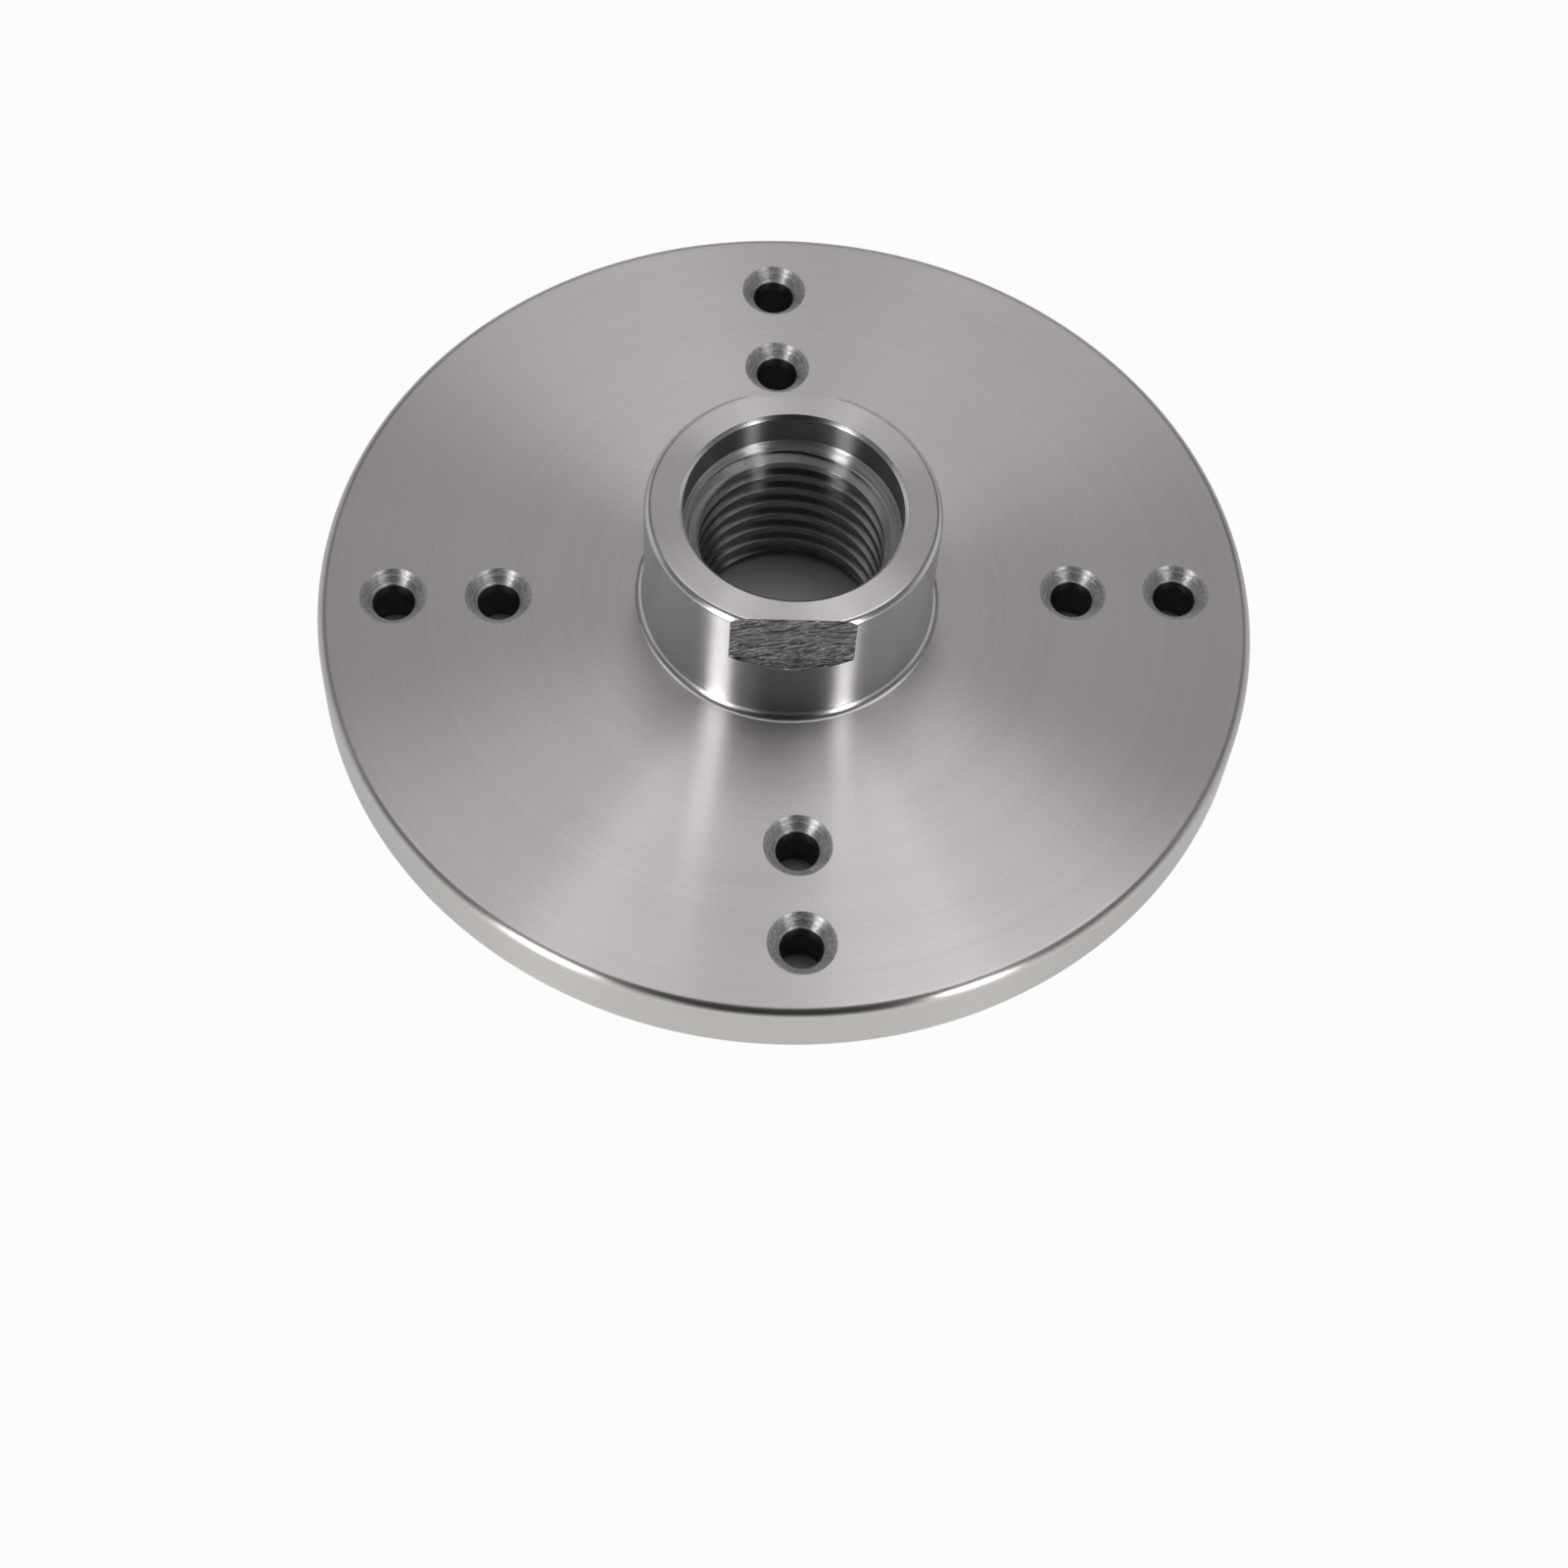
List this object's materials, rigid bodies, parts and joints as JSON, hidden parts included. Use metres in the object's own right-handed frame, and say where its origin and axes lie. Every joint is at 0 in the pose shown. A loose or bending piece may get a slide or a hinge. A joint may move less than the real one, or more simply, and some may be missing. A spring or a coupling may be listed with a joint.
{
  "type": "lathe faceplate",
  "caption": "Round steel faceplate for a wood lathe: a flat disc with countersunk screw holes and a threaded hub that has wrench flats.",
  "frame": {"origin": "centre of the flat workpiece face, on the spindle axis", "axes": "+Z along the spindle axis from the workpiece face to the free end of the hub; the screw holes lie on the X and Y axes and the wrench flats face almost along +Y and -Y"},
  "size_m": [0.15, 0.15, 0.0345],
  "materials": {
    "turned_steel": "fine turned steel with concentric tool marks"
  },
  "bodies": {
    "root": {"faceplate": "turned_steel"}
  },
  "joints": []
}
